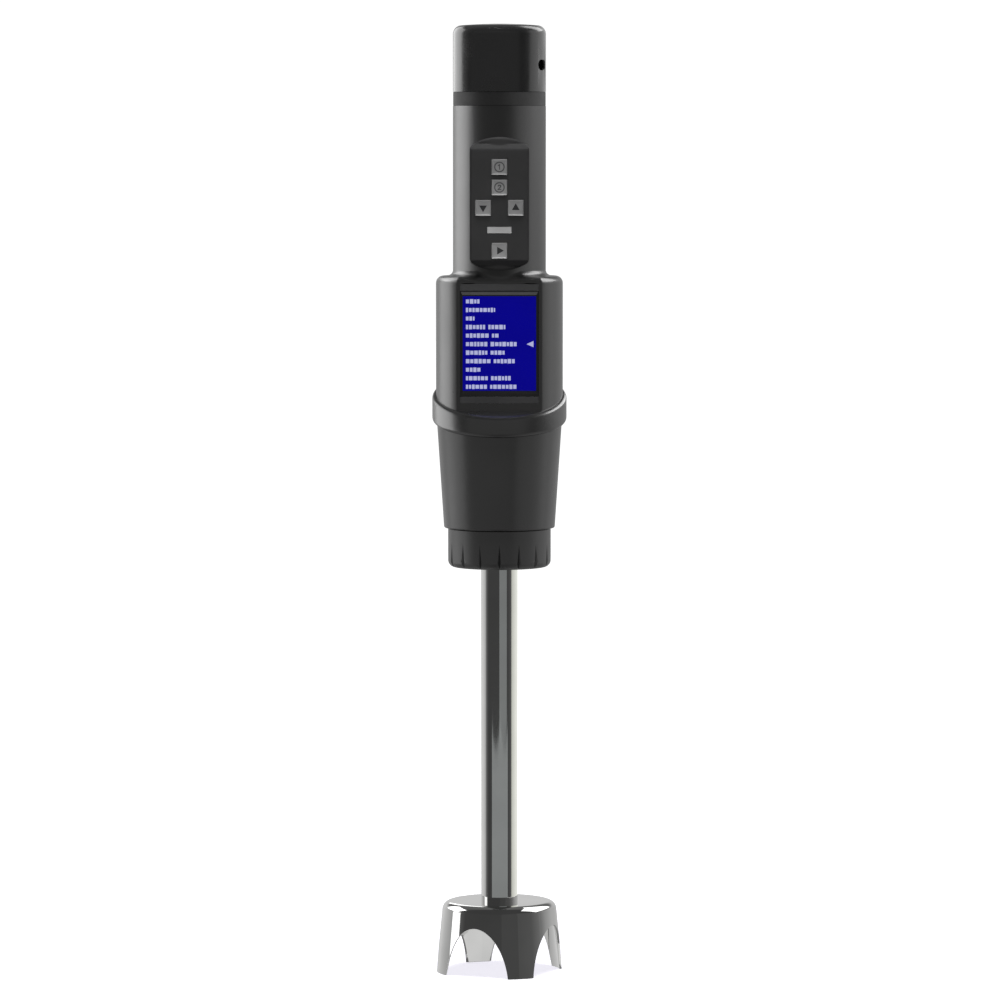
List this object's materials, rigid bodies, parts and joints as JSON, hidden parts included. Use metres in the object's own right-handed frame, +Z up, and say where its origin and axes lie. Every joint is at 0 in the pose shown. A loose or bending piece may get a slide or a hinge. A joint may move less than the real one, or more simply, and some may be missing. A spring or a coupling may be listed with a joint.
{
  "type": "cordless immersion blender",
  "caption": "Tall cordless stick blender: battery handle with keypad, flat-front display, motor cup, ribbed lock nut, steel tube and a polished bell guard on four legs.",
  "frame": {"origin": "centre of the plane that the guard's four feet stand on, on the spin axis", "axes": "+Z up along the spin axis, towards the battery cap; -Y is the front with the keypad and display; +X is to the right seen from the front"},
  "size_m": [0.0914, 0.0914, 0.6465],
  "materials": {
    "gloss_cap": "glossy",
    "gold_contact": "polished",
    "circuit_board": "satin",
    "seal_rubber": "matte",
    "body_plastic": "satin, fine texture",
    "cell_wrap": "glossy",
    "inner_plastic": "matte",
    "pad_plastic": "matte",
    "status_lens": "satin",
    "key_plastic": "satin",
    "frame_gloss": "glossy",
    "screen_glass": "clear",
    "screen_blue": "lit display",
    "capacitor_can": "satin",
    "lead_red": "satin",
    "cast_alloy": "satin",
    "machined_steel": "machined",
    "lamination": "matte",
    "winding_copper": "enamelled",
    "magnet": "plated",
    "nut_plastic": "satin",
    "tube_steel": "polished",
    "bronze_bush": "machined",
    "guard_polish": "mirror polished",
    "blade_steel": "polished"
  },
  "bodies": {
    "foot": {"tube_hub": "cast_alloy", "hub_seal": "seal_rubber", "shaft_tube": "tube_steel", "tube_bushings": "bronze_bush", "guard_bell": "guard_polish", "shaft_seal": "seal_rubber"},
    "motor_unit": {"battery_cap": "gloss_cap", "charge_socket": "gloss_cap", "charge_contacts": "gold_contact", "charge_board": "circuit_board", "seal_band": "seal_rubber", "handle_shell": "body_plastic", "battery_cells": "cell_wrap", "cell_holders": "inner_plastic", "keypad_bezel": "pad_plastic", "keypad_board": "circuit_board", "key_switches": "inner_plastic", "status_light": "status_lens", "display_housing": "body_plastic", "display_frame": "frame_gloss", "display_glass": "screen_glass", "display_panel": "screen_blue", "display_board": "circuit_board", "controller_board": "circuit_board", "board_capacitors": "capacitor_can", "motor_leads": "lead_red", "collar_ring": "body_plastic", "motor_cup": "body_plastic", "motor_flange": "cast_alloy", "flange_screws": "machined_steel", "motor_can": "machined_steel", "stator_core": "lamination", "stator_coils": "winding_copper", "motor_bearings": "machined_steel"},
    "drive_line": {"drive_shaft": "machined_steel", "drive_plug": "machined_steel", "blade_spacer": "blade_steel", "blade": "blade_steel", "blade_nut": "blade_steel"},
    "rotor": {"motor_shaft": "machined_steel", "rotor_core": "lamination", "rotor_magnets": "magnet", "drive_socket": "machined_steel"},
    "nut": {"lock_nut": "nut_plastic"},
    "key_one": {"key_one": "key_plastic"},
    "key_two": {"key_two": "key_plastic"},
    "key_down": {"key_down": "key_plastic"},
    "key_up": {"key_up": "key_plastic"},
    "key_start": {"key_start": "key_plastic"}
  },
  "joints": [
    {"name": "motor_unit_lift", "type": "slide", "parent": "foot", "child": "motor_unit", "axis": [0, 0, 1], "range_m": [0, 0.06]},
    {"name": "nut_turn", "type": "hinge", "parent": "motor_unit", "child": "nut", "pos_m": [0, 0, 0.288], "axis": [0, 0, 1], "range_deg": [0, 60]},
    {"name": "rotor_spin", "type": "hinge", "parent": "motor_unit", "child": "rotor", "pos_m": [0, 0, 0.3], "axis": [0, 0, 1], "continuous": true},
    {"name": "drive_spin", "type": "hinge", "parent": "foot", "child": "drive_line", "pos_m": [0, 0, 0.3], "axis": [0, 0, 1], "continuous": true},
    {"name": "key_one_press", "type": "slide", "parent": "motor_unit", "child": "key_one", "axis": [0, 1, 0], "range_m": [0, 0.0008], "stiffness_N_per_m": 2500, "springref_m": -0.0004},
    {"name": "key_two_press", "type": "slide", "parent": "motor_unit", "child": "key_two", "axis": [0, 1, 0], "range_m": [0, 0.0008], "stiffness_N_per_m": 2500, "springref_m": -0.0004},
    {"name": "key_down_press", "type": "slide", "parent": "motor_unit", "child": "key_down", "axis": [0, 1, 0], "range_m": [0, 0.0008], "stiffness_N_per_m": 2500, "springref_m": -0.0004},
    {"name": "key_up_press", "type": "slide", "parent": "motor_unit", "child": "key_up", "axis": [0, 1, 0], "range_m": [0, 0.0008], "stiffness_N_per_m": 2500, "springref_m": -0.0004},
    {"name": "key_start_press", "type": "slide", "parent": "motor_unit", "child": "key_start", "axis": [0, 1, 0], "range_m": [0, 0.0008], "stiffness_N_per_m": 2500, "springref_m": -0.0004}
  ],
  "couplings": [
    {"joint": "drive_spin", "follows": "rotor_spin", "ratio": 1}
  ]
}
